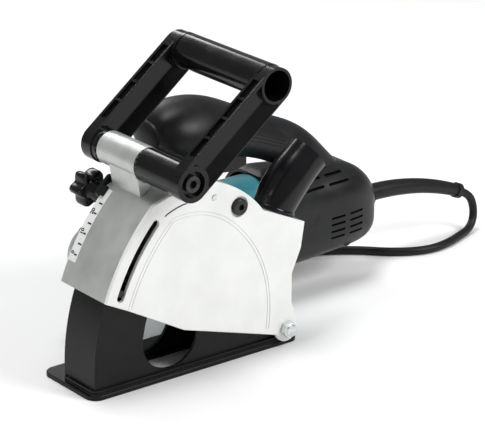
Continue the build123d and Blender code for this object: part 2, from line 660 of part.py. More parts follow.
def build_gear_housing():
    """Casting round the bevel gears, with the bore of the shaft lock."""
    with BuildPart() as gear_housing:
        bar(side(GEAR_END - 14), BOX_R, GEAR_END - 14 - BOX_FAR, SPINDLE)
        with BuildSketch(side(GEAR_END - 14)) as shoulder:
            with Locations(SPINDLE):
                Circle(BOX_R)
        with BuildSketch(side(GEAR_END)) as end:
            with Locations(SPINDLE):
                Circle(22.0)
        loft([shoulder.sketch, end.sketch])
        bar(across(SPINDLE[0] + 8), BOX_R, 32.0)
        bar(across(-62.0), MOTOR_R - 1.0, HOUSING_END + 62.0)
        # room for the gears
        bar(side(GEAR_END - 14), 26.3, GEAR_END - 14 - BOX_FAR, SPINDLE, mode=Mode.SUBTRACT)
        bar(side(FAR_BEARING), 9.5, 12.0, SPINDLE, mode=Mode.SUBTRACT)
        bar(across(SPINDLE[0] + 10), 24.0, 60.0, mode=Mode.SUBTRACT)
        bar(across(-60.0), MOTOR_R - 4.5, 20.0, mode=Mode.SUBTRACT)
        for x, z in GEAR_BOLTS:
            bar(side(45.0), 2.0, 10.0, (x, z), mode=Mode.SUBTRACT)
        bar(side(GEAR_END + 6), 3.0 + FIT, 30.0, LOCK_PIN, mode=Mode.SUBTRACT)
        bar(side(GEAR_END + 6), 6.0 + GAP, 10.0, LOCK_PIN, mode=Mode.SUBTRACT)
    save(gear_housing, "gear_housing")
    with BuildPart() as shaft_lock:
        bar(side(GEAR_END + 4.4), 6.0, 4.2, LOCK_PIN)
        bar(side(GEAR_END + 1), 3.0, 26.0, LOCK_PIN)
        chamfer(shaft_lock.faces().sort_by(Axis.Y)[-1].edges(), 0.8)
    save(shaft_lock, "shaft_lock")


# ---------------------------------------------------------------- motor
def build_motor_housing():
    """Tube round the motor with the bracket that carries the handle's front."""
    wall = 3.0
    with BuildPart() as motor_housing:
        bar(across(MOTOR_FRONT), MOTOR_R, MOTOR_REAR - MOTOR_FRONT)
        with BuildSketch(side(MOTOR_Y + 22)) as bracket:
            with BuildLine():
                Polyline((-46, 70), (-46, 126), (-34, 134), (-8, 130), (-6, 70), close=True)
            make_face()
        extrude(bracket.sketch, amount=44)
        bar(across(MOTOR_FRONT), MOTOR_R - wall, MOTOR_REAR - MOTOR_FRONT, mode=Mode.SUBTRACT)
        bar(across(-33.0), MOTOR_R - wall, 2.4, bore=24.0)
        add(dome_solid(0.0), mode=Mode.SUBTRACT)
    save(motor_housing, "motor_housing")


def build_motor():
    """Stator, armature with fan, pinion and commutator, bearings and brushes."""
    with BuildPart() as stator:
        bar(across(-22.0), MOTOR_R - 3, 44.0, bore=21.6)
        bar(across(-27.0), 31.0, 5.0, bore=23.0)
        bar(across(22.0), 31.0, 5.0, bore=23.0)
    save(stator, "stator")
    with BuildPart() as armature:
        bar(across(-68.0), SHAFT_R, 156.0)
        bar(across(-22.0), 21.0, 43.0)
        bar(across(-26.0), 16.0, 52.0)
    save(armature, "armature")
    with BuildPart() as commutator:
        bar(across(34.0), 13.0, 20.0)
        with BuildSketch(across(34.0)) as slots:
            with PolarLocations(12.6, 24):
                Rectangle(1.6, 0.7)
        extrude(slots.sketch, amount=18.0, mode=Mode.SUBTRACT)
        bar(across(34.0), SHAFT_R, 20.0, mode=Mode.SUBTRACT)
    save(commutator, "commutator")
    with BuildPart() as cooling_fan:
        bar(across(-47.0), 8.0, 12.0)
        bar(across(-37.0), 29.0, 1.6)
        with BuildSketch(across(-47.0)) as blades:
            with PolarLocations(20.0, 14):
                Rectangle(17.0, 1.4)
        extrude(blades.sketch, amount=10.5)
        bar(across(-47.0), SHAFT_R, 14.0, mode=Mode.SUBTRACT)
    save(cooling_fan, "cooling_fan")
    with BuildPart() as pinion:
        with BuildSketch(across(-76.0)) as tip:
            Circle(6.6)
        with BuildSketch(across(-68.0)) as root:
            Circle(8.6)
        loft([tip.sketch, root.sketch])
        with BuildSketch(across(-77.0)) as teeth:
            with PolarLocations(8.6, 9):
                Rectangle(3.0, 1.6)
        extrude(teeth.sketch, amount=7.0, mode=Mode.SUBTRACT)
    save(pinion, "pinion")
    with BuildPart() as motor_bearings:
        bar(across(-62.0), 13.0, 8.0, bore=SHAFT_R + FIT)
        bar(across(78.0), 9.5, 7.0, bore=SHAFT_R + FIT)
    save(motor_bearings, "motor_bearings")
    with BuildPart() as bearing_plate:
        bar(across(-60.0), MOTOR_R - 4.8, 3.0, bore=13.0)
    save(bearing_plate, "bearing_plate")


def build_brushes():
    """Brass brush sleeves above and below the commutator, with their carbons."""
    with BuildPart() as brush_holders:
        for turn in (1, -1):
            place = Plane(origin=(43.0, MOTOR_Y, AXIS_Z + turn * 15.3), x_dir=(1, 0, 0), z_dir=(0, 0, turn))
            with BuildSketch(place) as sleeve:
                Rectangle(9.0, 13.0)
                Rectangle(6.2, 9.2, mode=Mode.SUBTRACT)
            extrude(sleeve.sketch, amount=18.0)
    save(brush_holders, "brush_holders")
    with BuildPart() as carbon_brushes:
        for turn in (1, -1):
            place = Plane(origin=(43.0, MOTOR_Y, AXIS_Z + turn * 13.2), x_dir=(1, 0, 0), z_dir=(0, 0, turn))
            with BuildSketch(place) as carbon:
                Rectangle(6.2, 9.2)
            extrude(carbon.sketch, amount=12.0)
    save(carbon_brushes, "carbon_brushes")


# ---------------------------------------------------------------- handle housing
# Sections along X: distance, middle height, half width, half height.
DOME = [
    (-56.5, 141.0, 17.0, 12.0),
    (-46.0, 137.5, 28.0, 24.0),
    (-22.0, 134.0, 32.0, 30.5),
    (12.0, 131.5, 25.0, 24.5),
    (40.0, 122.5, 19.0, 20.0),
    (72.0, 108.5, 18.5, 20.5),
    (104.0, 85.0, 19.0, 23.0),
    (124.0, 66.0, 19.0, 21.0),
    (144.0, 50.0, 17.0, 20.0),
]
REAR = [
    (45.0, 48.5, 38.5, 38.5),
    (70.0, 48.0, 38.5, 39.5),
    (112.0, 48.0, 36.5, 37.5),
    (138.0, 45.5, 32.5, 33.5),
    (152.0, 42.0, 25.0, 26.0),
    (158.0, 41.0, 18.0, 19.0),
]
SHELL = 3.0
GUARD_Z = 43.0  # cord guard's axis where it leaves the housing
GUARD_ROOT = 158.0
# Vent rows: height, middle along X, length.
LOWER_VENTS = [(z, 115.0, 36.0) for z in (47.3, 41.8, 36.0, 30.5)]
UPPER_VENTS = [(80.8, 96.0, 42.0), (74.8, 96.0, 48.0)]


def section_loft(rows, inset, squareness, front_inset):
    """Solid through rounded sections square to X, each smaller all round by the inset."""
    shifts = [front_inset] + [0.0] * (len(rows) - 2) + [-inset]
    faces = []
    for (x, middle, wide, high), shift in zip(rows, shifts):
        place = Plane(origin=(x + shift, MOTOR_Y, PIVOT_H + middle), x_dir=(0, 1, 0), z_dir=(1, 0, 0))
        with BuildSketch(place) as cut:
            if squareness:
                corner = squareness * min(wide - inset, high - inset)
                RectangleRounded(2 * (wide - inset), 2 * (high - inset), corner)
            else:
                Ellipse(wide - inset, high - inset)
        faces.append(cut.sketch)
    with BuildPart() as body:
        loft(faces)
    return body.part


def dome_solid(inset):
    """Front dome and grip of the D-handle."""
    return section_loft(DOME, inset, 0, inset)


def rear_solid(inset):
    """Housing round the motor's rear end."""
    return section_loft(REAR, inset, 0.7, -inset)


def build_housing():
    """Both halves of the handle housing in one hollow piece."""
    with BuildPart() as housing:
        add(dome_solid(0.0))
        add(rear_solid(0.0))
        add(dome_solid(SHELL), mode=Mode.SUBTRACT)
        add(rear_solid(SHELL), mode=Mode.SUBTRACT)
        # collar round the cord guard
        bar(across(GUARD_ROOT - 10), 11.0, 18.0, (0, GUARD_Z - SPINDLE[1]))
        bar(across(GUARD_ROOT - 14), 7.4, 30.0, (0, GUARD_Z - SPINDLE[1]), mode=Mode.SUBTRACT)
        bar(across(GUARD_ROOT - 12), 10.7, 8.0, (0, GUARD_Z - SPINDLE[1]), mode=Mode.SUBTRACT)
        bar(side(MOTOR_Y + 40), 4.0 + GAP, 30.0, LOCK_BUTTON, mode=Mode.SUBTRACT)
        with BuildSketch(side(MOTOR_Y + 8)) as opening:
            with Locations((16.0, 104.0)):
                Rectangle(40.0, 18.0)
        extrude(opening.sketch, amount=16, mode=Mode.SUBTRACT)
        with BuildSketch(side(MOTOR_Y + 60)) as vents:
            for z, x, long in LOWER_VENTS + UPPER_VENTS:
                with Locations((x - long / 4 - 1, z), (x + long / 4 + 1, z)):
                    SlotOverall(long / 2 - 3, 1.9)
        extrude(vents.sketch, amount=120, mode=Mode.SUBTRACT)
        bar(across(78.0), 38.0, 7.0, bore=9.5)
        for x, z, half in [NEAR_SCREW, *FAR_SCREWS]:
            bar(side(MOTOR_Y + half - 1.5), 5.2, 2 * half - 3, (x, z))
            bar(side(MOTOR_Y + half - 6), 1.6, 2 * half - 13, (x, z), mode=Mode.SUBTRACT)
        x, z, half = NEAR_SCREW
        bar(side(MOTOR_Y - half + 7), 4.0, 20.0, (x, z), mode=Mode.SUBTRACT)
        for x, z, half in FAR_SCREWS:
            bar(side(MOTOR_Y + half + 13), 4.0, 20.0, (x, z), mode=Mode.SUBTRACT)
    return housing.part


def build_handle():
    """Handle shells, switch, trigger and lock button."""
    housing = build_housing()
    for name, keep in (("handle_shell_near", Keep.TOP), ("handle_shell_far", Keep.BOTTOM)):
        with BuildPart() as shell:
            add(housing)
            split(bisect_by=side(MOTOR_Y), keep=keep)
        save(shell, name)
    with BuildPart() as switch_body:
        with BuildSketch(side(MOTOR_Y + 9)) as block:
            with Locations((24.0, 126.0)):
                Rectangle(34.0, 20.0)
        extrude(block.sketch, amount=18)
    save(switch_body, "switch_body")
    with BuildPart() as trigger:
        with BuildSketch(side(MOTOR_Y + 7.6)) as lever:
            with BuildLine():
                Polyline(
                    (-2.0, 112.0), (34.0, 112.0), (34.0, 99.5), (20.0, 96.5), (4.0, 98.0), (-2.0, 103.0),
                    close=True,
                )
            make_face()
            fillet(lever.vertices(), 2.0)
        extrude(lever.sketch, amount=15.2)
    save(trigger, "trigger")
    with BuildPart() as lock_button:
        bar(side(MOTOR_Y + 23.6), 4.0, 10.0, LOCK_BUTTON)
        chamfer(lock_button.faces().sort_by(Axis.Y)[-1].edges(), 0.8)
    save(lock_button, "lock_button")
    with BuildPart() as handle_screws:
        x, z, half = NEAR_SCREW
        bar(side(MOTOR_Y + half - 8), 1.6, 2 * half - 15, (x, z))
        bar(side(MOTOR_Y - half + 7), 3.6, 2.6, (x, z))
        for x, z, half in FAR_SCREWS:
            bar(side(MOTOR_Y + half - 7), 1.6, 2 * half - 15, (x, z))
            bar(side(MOTOR_Y + half - 4.4), 3.6, 2.6, (x, z))
    save(handle_screws, "handle_screws")


# ---------------------------------------------------------------- cord
GUARD_END = (268.0, 22.8)
CORD_R = CORD_D / 2
COIL_CENTRE = (60.0, 168.0)
COIL_MEAN, COIL_SIDE, COIL_LOW = 38.5, 21.0, 1.2
ROUTE = [
    (268.0, 76.0, 37.3), (279.0, 75.5, 32.4), (284.4, 74.0, 21.6), (281.6, 71.5, 10.0), (272.6, 67.5, 3.5),
    (256.0, 61.0, 3.5), (239.0, 55.0, 3.5), (220.0, 52.5, 3.5), (202.0, 57.5, 3.5), (184.0, 70.0, 3.5),
    (168.0, 88.0, 3.5), (146.0, 103.0, 3.5), (122.0, 116.0, 3.5), (113.0, 140.0, 3.8), (111.6, 158.0, 4.7),
]


def cord_radii(points):
    """Arc radius at each corner: 0.45 of the shorter run over the tangent of half the turn."""
    spots = [Vector(*point) for point in points]
    radii = []
    for before, corner, after in zip(spots, spots[1:], spots[2:]):
        first, second = corner - before, after - corner
        half_turn = radians(first.get_angle(second)) / 2
        radii.append(0.45 * min(first.length, second.length) / tan(half_turn))
    return radii


def build_cord():
    """Guard, clamp, free cord, coil of the rest, tie and mains plug."""
    with BuildPart() as cord_guard:
        with BuildLine(side(MOTOR_Y)) as path:
            ThreePointArc((GUARD_ROOT, GUARD_Z), (215.0, 39.0), GUARD_END)
        sections = ((0.0, 7.25), (0.35, 6.9), (0.7, 6.1), (0.955, 5.5))
        rings = []
        for place, radius in sections:
            with BuildSketch(Plane(path.line @ place, x_dir=(0, 1, 0), z_dir=path.line % place)) as ring:
                Circle(radius)
            rings.append(ring.sketch)
        loft(rings)
        bar(across(GUARD_ROOT - 11), 7.0, 13.0, (0, GUARD_Z - SPINDLE[1]))
        bar(across(GUARD_ROOT - 11), 10.5, 4.0, (0, GUARD_Z - SPINDLE[1]))
        end = Plane(path.line @ 1, x_dir=(0, 1, 0), z_dir=path.line % 1)
        bar(end, 6.5, -5.0)
    save(cord_guard, "cord_guard")
    with BuildPart() as cord_clamp:
        bar(across(GUARD_ROOT - 24), 8.0, 8.0, (0, GUARD_Z - SPINDLE[1]), bore=CORD_R)
    save(cord_clamp, "cord_clamp")
    radii = cord_radii(ROUTE)
    print("cord radii", [round(radius, 1) for radius in radii])
    with BuildPart() as power_cord:
        with BuildLine() as route:
            FilletPolyline(*ROUTE, radius=radii)
        with BuildSketch(Plane(route.line @ 0, z_dir=route.line % 0)):
            Circle(CORD_R)
        sweep(path=route.line)
    length = sum(edge.length for edge in route.edges())
    print("cord length", length, "volume ratio", power_cord.part.volume / (pi * CORD_R**2 * length))
    save(power_cord, "power_cord")
    with BuildPart() as cord_coil:
        outer, inner = COIL_MEAN + COIL_SIDE / 2, COIL_MEAN - COIL_SIDE / 2
        bar(Plane.XY.offset(COIL_LOW), outer, COIL_SIDE, COIL_CENTRE, bore=inner)
    save(cord_coil, "cord_coil")
    with BuildPart() as cord_tie:
        place = Plane(
            origin=(COIL_CENTRE[0] - COIL_MEAN, COIL_CENTRE[1], COIL_LOW + COIL_SIDE / 2),
            x_dir=(1, 0, 0),
            z_dir=(0, 1, 0),
        )
        with BuildSketch(place) as band:
            Rectangle(COIL_SIDE + 3.2, COIL_SIDE + 2.4)
            Rectangle(COIL_SIDE + 0.8, COIL_SIDE, mode=Mode.SUBTRACT)
        extrude(band.sketch, amount=4.0, both=True)
    save(cord_tie, "cord_tie")
    with BuildPart() as mains_plug:
        top = COIL_LOW + COIL_SIDE
        rear_end = (COIL_CENTRE[0] - 20, COIL_CENTRE[1], top + 13.0)
        place = Plane(origin=rear_end, x_dir=(0, 1, 0), z_dir=(1, 0, 0))
        with BuildSketch(place) as rear:
            RectangleRounded(15.0, 15.0, 7.0)
        with BuildSketch(place.offset(24.0)) as waist:
            RectangleRounded(30.0, 26.0, 9.0)
        with BuildSketch(place.offset(44.0)) as front:
            RectangleRounded(34.0, 26.0, 9.0)
        loft([rear.sketch, waist.sketch, front.sketch])
        bar(place.offset(44.0), 2.4, 19.0, (9.5, 0))
        bar(place.offset(44.0), 2.4, 19.0, (-9.5, 0))
    save(mains_plug, "mains_plug")


LOCK_BUTTON = (26.0, 124.0)
# Housing screws: X, height, half width of their posts.
NEAR_SCREW = (1.6, 130.3, 26.0)
FAR_SCREWS = [(60.0, 113.5, 18.0), (120.0, 22.0, 31.0), (125.0, 72.0, 29.5)]

build_steps = (
    build_cover_fixings, build_scale, build_base_frame, build_sole, build_pivot, build_front_handle,
    build_stopper, build_nozzle, build_spindle, build_bearings, build_gear_housing, build_motor_housing,
    build_motor, build_brushes, build_handle, build_cord,
)
save(build_wheel_case(), "wheel_case")
save(build_side_cover(), "side_cover")
for step in build_steps:
    step()
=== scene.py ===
import json
import math

import bmesh
import bpy
from mathutils import Matrix, Vector
from mathutils.bvhtree import BVHTree


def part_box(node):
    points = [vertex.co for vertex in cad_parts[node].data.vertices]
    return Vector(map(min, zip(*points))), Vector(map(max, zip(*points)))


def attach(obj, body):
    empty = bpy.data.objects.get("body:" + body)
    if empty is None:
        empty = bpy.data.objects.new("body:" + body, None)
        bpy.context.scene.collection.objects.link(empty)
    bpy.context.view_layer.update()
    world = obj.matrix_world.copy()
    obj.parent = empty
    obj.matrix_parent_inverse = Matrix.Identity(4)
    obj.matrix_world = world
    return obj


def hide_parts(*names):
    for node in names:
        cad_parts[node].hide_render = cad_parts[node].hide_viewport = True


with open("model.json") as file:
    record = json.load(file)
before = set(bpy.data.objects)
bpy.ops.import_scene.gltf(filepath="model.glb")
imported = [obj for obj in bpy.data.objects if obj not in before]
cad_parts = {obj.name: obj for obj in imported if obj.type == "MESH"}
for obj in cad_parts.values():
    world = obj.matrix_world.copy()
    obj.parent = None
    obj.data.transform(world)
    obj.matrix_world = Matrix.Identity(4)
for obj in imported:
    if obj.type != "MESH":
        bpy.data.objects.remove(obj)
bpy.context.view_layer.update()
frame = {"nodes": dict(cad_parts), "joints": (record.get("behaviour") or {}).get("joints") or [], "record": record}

NODES = frame["nodes"]
BODY_OF = {node: body for body, nodes in frame["record"]["behaviour"]["bodies"].items() for node in nodes}
SLOT_OF = {row["node"]: row["material_slot"] for row in frame["record"]["subparts"]}
JOINTS = {joint["name"]: joint for joint in frame["joints"]}
MM = 0.001
ALONG = Vector((1.0, 0.0, 0.0))
ACROSS = Vector((0.0, 1.0, 0.0))
UP = Vector((0.0, 0.0, 1.0))

# ---------------------------------------------------------------- places taken from the frame (metres)
PIVOT = Vector(JOINTS["plunge"]["pos_m"])
HUB = Vector(JOINTS["front_handle_tilt"]["pos_m"])
MOTOR = Vector(JOINTS["armature_spin"]["pos_m"])
PORT = Vector(JOINTS["nozzle_swivel"]["pos_m"])
PORT_AXIS = Vector(JOINTS["nozzle_swivel"]["axis"])
KNOB = Vector(JOINTS["knob_turn"]["pos_m"])


def link(name, data):
    """New object of the scene that holds the data."""
    made = bpy.data.objects.new(name, data)
    bpy.context.scene.collection.objects.link(made)
    return made


# ---------------------------------------------------------------- camera
LENS_MM = 196.2
SENSOR_MM = 36.0
CAMERA_PLACE = (-1.1657, -1.4823, 0.8099)
CAMERA_VIEW = (0.5714, 0.7410, -0.3527)
CLIP_END = 20.0


def add_camera():
    """Long lens at the photograph's viewing angle."""
    camera = bpy.data.cameras.new("camera")
    camera.sensor_width = SENSOR_MM
    camera.lens = LENS_MM
    camera.clip_end = CLIP_END
    holder = link("camera", camera)
    holder.location = CAMERA_PLACE
    holder.rotation_euler = Vector(CAMERA_VIEW).to_track_quat("-Z", "Y").to_euler()
    bpy.context.scene.camera = holder


add_camera()

# ---------------------------------------------------------------- cord
CORD_D = 0.007
ROUTE = [
    (0.2680, 0.0760, 0.0373), (0.2790, 0.0755, 0.0324), (0.2834, 0.0740, 0.0216), (0.2816, 0.0715, 0.0100),
    (0.2726, 0.0675, 0.0035), (0.2560, 0.0610, 0.0035), (0.2390, 0.0550, 0.0035), (0.2200, 0.0525, 0.0035),
    (0.2020, 0.0575, 0.0035), (0.1840, 0.0700, 0.0035), (0.1680, 0.0880, 0.0035), (0.1460, 0.1030, 0.0035),
    (0.1220, 0.1160, 0.0035), (0.1130, 0.1400, 0.0038), (0.1116, 0.1580, 0.0047),
]
COIL_LANES = 3
COIL_LAYERS = 3
COIL_TURNS = COIL_LANES * COIL_LAYERS
COIL_POINTS = 16  # to a turn
COIL_START = 0.05  # radians before +X
LANE_STAY = 0.75  # share of a turn spent on one lane before the cord moves to the next


def coil_points():
    """Turns of the put-away length, one a lane, wound in layers that run in and out by turns."""
    low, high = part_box("cord_coil")
    centre = (low + high) / 2
    outer = (high.x - low.x) / 2 - CORD_D / 2
    lanes = []
    for layer in range(COIL_LAYERS):
        order = range(COIL_LANES) if layer % 2 == 0 else reversed(range(COIL_LANES))
        lanes += [(lane, layer) for lane in order]
    spots = []
    for step in range(COIL_TURNS * COIL_POINTS):
        turn = step / COIL_POINTS
        here, there = lanes[int(turn)], lanes[min(int(turn) + 1, len(lanes) - 1)]
        ease = max(0.0, (turn - int(turn)) - LANE_STAY) / (1 - LANE_STAY)
        lane = here[0] + (there[0] - here[0]) * ease
        layer = here[1] + (there[1] - here[1]) * ease
        radius = outer - lane * CORD_D
        angle = math.tau * turn - COIL_START
        spots.append((
            centre.x + radius * math.cos(angle),
            centre.y + radius * math.sin(angle),
            low.z + CORD_D / 2 + layer * CORD_D,
        ))
    return spots


def add_cord():
    """The lead from the guard to the coil behind the machine, on one smooth line."""
    points = ROUTE + coil_points()
    curve = bpy.data.curves.new("mains_lead", "CURVE")
    curve.dimensions = "3D"
    curve.resolution_u = 6
    curve.bevel_depth = 1.0  # each point's radius then is the cord's own
    curve.bevel_resolution = 6
    spline = curve.splines.new("NURBS")
    spline.points.add(len(points) - 1)
    for point, place in zip(spline.points, points):
        point.co = (*place, 1.0)
        point.radius = CORD_D / 2
    spline.order_u = 3
    spline.use_endpoint_u = True
    lead = link("mains_lead", curve)
    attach(lead, "case")
    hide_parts("power_cord", "cord_coil")
    return lead


LEAD = add_cord()

# ---------------------------------------------------------------- materials
TONES = (0.35, 0.65)  # noise values where the dark and the light colour are reached
GLOSSES = (0.3, 0.7)  # noise values where the two ends of the roughness are reached
BROAD_DETAIL = 5.0
FINE_DETAIL = 3.0
GRAIN_DEPTH = 0.0001
WAVE_DEPTH = 0.0006


def new_material(name, colour, rough, metal=0.0, coat=0.0, specular=0.5):
    """Principled material with its plain numbers set on the shader's own sockets."""
    material = bpy.data.materials.new(name)
    material.use_nodes = True
    shader = material.node_tree.nodes["Principled BSDF"]
    shader.inputs["Base Color"].default_value = (*colour, 1.0)
    shader.inputs["Roughness"].default_value = rough
    shader.inputs["Metallic"].default_value = metal
    shader.inputs["Coat Weight"].default_value = coat
    shader.inputs["Specular IOR Level"].default_value = specular
    return material


def object_noise(tree, scale, detail, stretch):
    """Noise in object space, stretched along the axes."""
    place = tree.nodes.new("ShaderNodeTexCoord")
    mapping = tree.nodes.new("ShaderNodeMapping")
    mapping.inputs["Scale"].default_value = stretch
    noise = tree.nodes.new("ShaderNodeTexNoise")
    noise.inputs["Scale"].default_value = scale
    noise.inputs["Detail"].default_value = detail
    tree.links.new(place.outputs["Object"], mapping.inputs["Vector"])
    tree.links.new(mapping.outputs["Vector"], noise.inputs["Vector"])
    return noise.outputs["Fac"]


def two_tone(tree, source, dark, light):
    """Colour that runs from dark to light over a noise value."""
    node = tree.nodes.new("ShaderNodeValToRGB")
    for element, place, colour in zip(node.color_ramp.elements, TONES, (dark, light)):
        element.position = place
        element.color = (*colour, 1.0)
    tree.links.new(source, node.inputs["Fac"])
    return node.outputs["Color"]


def spread(tree, source, low, high):
    """Map a noise value onto low to high."""
    node = tree.nodes.new("ShaderNodeMapRange")
    for socket, value in zip(("From Min", "From Max", "To Min", "To Max"), (*GLOSSES, low, high)):
        node.inputs[socket].default_value = value
    tree.links.new(source, node.inputs["Value"])
    return node.outputs["Result"]


def bump(tree, source, strength, distance, normal=None):
    """Bump from a height value, chained on an earlier one where there is one."""
    node = tree.nodes.new("ShaderNodeBump")
    node.inputs["Strength"].default_value = strength
    node.inputs["Distance"].default_value = distance
    tree.links.new(source, node.inputs["Height"])
    if normal is not None:
        tree.links.new(normal, node.inputs["Normal"])
    return node.outputs["Normal"]


def surface(name, dark, light, rough, metal=0.0, coat=0.0, specular=0.5, grain=900.0, grain_strength=0.15,
            wave=60.0, wave_strength=0.05, stretch=(1, 1, 1)):
    """Material with mottled colour, uneven gloss, a fine grain and a faint waviness."""
    material = new_material(name, light, sum(rough) / 2, metal, coat, specular)
    tree = material.node_tree
    shader = tree.nodes["Principled BSDF"]
    broad = object_noise(tree, wave, BROAD_DETAIL, stretch)
    fine = object_noise(tree, grain, FINE_DETAIL, stretch)
    tree.links.new(two_tone(tree, broad, dark, light), shader.inputs["Base Color"])
    tree.links.new(spread(tree, broad, *rough), shader.inputs["Roughness"])
    first = bump(tree, fine, grain_strength, GRAIN_DEPTH)
    tree.links.new(bump(tree, broad, wave_strength, WAVE_DEPTH, first), shader.inputs["Normal"])
    return material


FINISHES = {
    "cover_paint": dict(dark=(0.80, 0.81, 0.79), light=(0.86, 0.87, 0.85), rough=(0.30, 0.42), coat=0.15,
                        grain=1400, grain_strength=0.10, wave=35, wave_strength=0.02),
    # white_casting is the same off-white paint as the side cover, set to a darker grey as painted shade of the rim
    # and boss
    "white_casting": dict(dark=(0.50, 0.52, 0.50), light=(0.60, 0.62, 0.60), rough=(0.30, 0.42), metal=0.55,
                          coat=0.1, grain=1600, grain_strength=0.12, wave=45, wave_strength=0.03),
    "black_steel": dict(dark=(0.004, 0.004, 0.004), light=(0.007, 0.007, 0.0075), rough=(0.30, 0.42),
                        specular=0.2, grain=1500, grain_strength=0.25, wave=70, wave_strength=0.05),
    "black_gloss": dict(dark=(0.004, 0.004, 0.0045), light=(0.006, 0.006, 0.007), rough=(0.14, 0.22),
                        coat=0.05, specular=0.24,
                        grain=700, grain_strength=0.04, wave=40, wave_strength=0.02),
    "black_housing": dict(dark=(0.007, 0.007, 0.008), light=(0.011, 0.0115, 0.0125), rough=(0.34, 0.44),
                          specular=0.26, grain=2600, grain_strength=0.35, wave=60, wave_strength=0.02),
    "teal_housing": dict(dark=(0.06, 0.30, 0.37), light=(0.08, 0.36, 0.44), rough=(0.35, 0.48),
                         grain=2400, grain_strength=0.25, wave=60, wave_strength=0.02),
    "zinc": dict(dark=(0.55, 0.57, 0.58), light=(0.72, 0.74, 0.75), rough=(0.22, 0.38), metal=1.0,
                 grain=1800, grain_strength=0.12, wave=220, wave_strength=0.05),
    "black_oxide": dict(dark=(0.02, 0.02, 0.022), light=(0.045, 0.045, 0.048), rough=(0.30, 0.45), metal=0.6,
                        grain=1800, grain_strength=0.15, wave=200, wave_strength=0.05),
    "steel": dict(dark=(0.42, 0.42, 0.43), light=(0.58, 0.58, 0.59), rough=(0.22, 0.34), metal=1.0,
                  grain=900, grain_strength=0.10, wave=160, wave_strength=0.03, stretch=(1, 6, 1)),
    "gear_alloy": dict(dark=(0.34, 0.35, 0.36), light=(0.48, 0.49, 0.50), rough=(0.38, 0.55), metal=0.9,
                       grain=1300, grain_strength=0.35, wave=120, wave_strength=0.10),
    "scale_label": dict(dark=(0.80, 0.81, 0.80), light=(0.86, 0.87, 0.86), rough=(0.22, 0.30), coat=0.3,
                        grain=1500, grain_strength=0.05, wave=50, wave_strength=0.01),
    "copper": dict(dark=(0.55, 0.25, 0.14), light=(0.70, 0.34, 0.20), rough=(0.25, 0.4), metal=1.0),
    "brass": dict(dark=(0.55, 0.40, 0.16), light=(0.72, 0.54, 0.24), rough=(0.25, 0.4), metal=1.0),
    "carbon": dict(dark=(0.015, 0.015, 0.016), light=(0.03, 0.03, 0.032), rough=(0.5, 0.7)),
    "laminate": dict(dark=(0.20, 0.20, 0.21), light=(0.34, 0.34, 0.36), rough=(0.35, 0.5), metal=0.9,
                     stretch=(40, 1, 1)),
    "rubber": dict(dark=(0.006, 0.006, 0.0065), light=(0.010, 0.010, 0.011), rough=(0.38, 0.50),
                   specular=0.26, grain=1700, grain_strength=0.20, wave=90, wave_strength=0.03),
}
MATERIALS = {slot: surface(slot + "_mat", **finish) for slot, finish in FINISHES.items()}


def paint(piece, slot):
    """Give a piece the material of a record slot, on its mesh's own slots."""
    fill = MATERIALS[slot]
    if len(piece.data.materials) == 0:
        piece.data.materials.append(fill)
    for index in range(len(piece.data.materials)):
        piece.data.materials[index] = fill


for node, piece in NODES.items():
    paint(piece, SLOT_OF[node])
LEAD.data.materials.append(MATERIALS["rubber"])

# ---------------------------------------------------------------- CAD nodes with rounded edges
SHARP_ANGLE = 32.0  # degrees; an edge this sharp or sharper is rounded and stays crisp in the shading
EDGE_SEGMENTS = 2
MERGE_GAP = 1e-6
FLAT_ANGLE = 0.4  # degrees; faces that differ by less become one
EDGE_WIDTHS = {
    "wheel_case": 0.0007, "side_cover": 0.0003, "base_frame": 0.0004, "sole_plate": 0.0005,
    "front_handle": 0.0006, "handle_bolt": 0.0004, "cover_screw": 0.0003, "pivot_bolt": 0.0003,
    "depth_stopper": 0.0004, "gear_housing": 0.0012, "bearing_box": 0.0006,
    "motor_housing": 0.0005,
}


def settle(mesh, angle):
    """Smooth shading with edges sharper than the angle kept crisp."""
    mesh.shade_smooth()
    mesh.set_sharp_from_angle(angle=math.radians(angle))


def refine(node, width):
    """A copy of a CAD node's mesh with rounded edges, which then stands for the node."""
    mesh = NODES[node].data.copy()
    mesh.name = node + "_shape"
    work = bmesh.new()
    work.from_mesh(mesh)
    bmesh.ops.remove_doubles(work, verts=work.verts, dist=MERGE_GAP)
    bmesh.ops.dissolve_limit(work, angle_limit=math.radians(FLAT_ANGLE), verts=work.verts, edges=work.edges)
    work.to_mesh(mesh)
    work.free()
    settle(mesh, SHARP_ANGLE)
    piece = link(node + "_shaped", mesh)
    rounding = piece.modifiers.new("edges", "BEVEL")
    rounding.width = width
    rounding.segments = EDGE_SEGMENTS
    rounding.limit_method = "ANGLE"
    rounding.angle_limit = math.radians(SHARP_ANGLE)
    rounding.use_clamp_overlap = True
    piece.modifiers.new("normals", "WEIGHTED_NORMAL").keep_sharp = True
    paint(piece, SLOT_OF[node])
    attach(piece, BODY_OF[node])
    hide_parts(node)


for node, width in EDGE_WIDTHS.items():
    refine(node, width)


# ---------------------------------------------------------------- tools for smooth pieces
def add_mesh(name, mesh, node, angle=40.0):
    """Link a new mesh with the material, body and record slot of a CAD node."""
    piece = link(name, mesh)
    settle(mesh, angle)
    paint(piece, SLOT_OF[node])
    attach(piece, BODY_OF[node])
    return piece


def skin(rings, closed_ends=True):
    """Mesh through rings of equal point count."""
    work = bmesh.new()
    loops = [[work.verts.new(point) for point in ring] for ring in rings]
    count = len(loops[0])
    for first, second in zip(loops, loops[1:]):
        for index in range(count):
            after = (index + 1) % count
            work.faces.new((first[index], first[after], second[after], second[index]))
    if closed_ends:
        work.faces.new(list(reversed(loops[0])))
        work.faces.new(loops[-1])
    bmesh.ops.recalc_face_normals(work, faces=work.faces)
    mesh = bpy.data.meshes.new("skin")
    work.to_mesh(mesh)
    work.free()
    return mesh


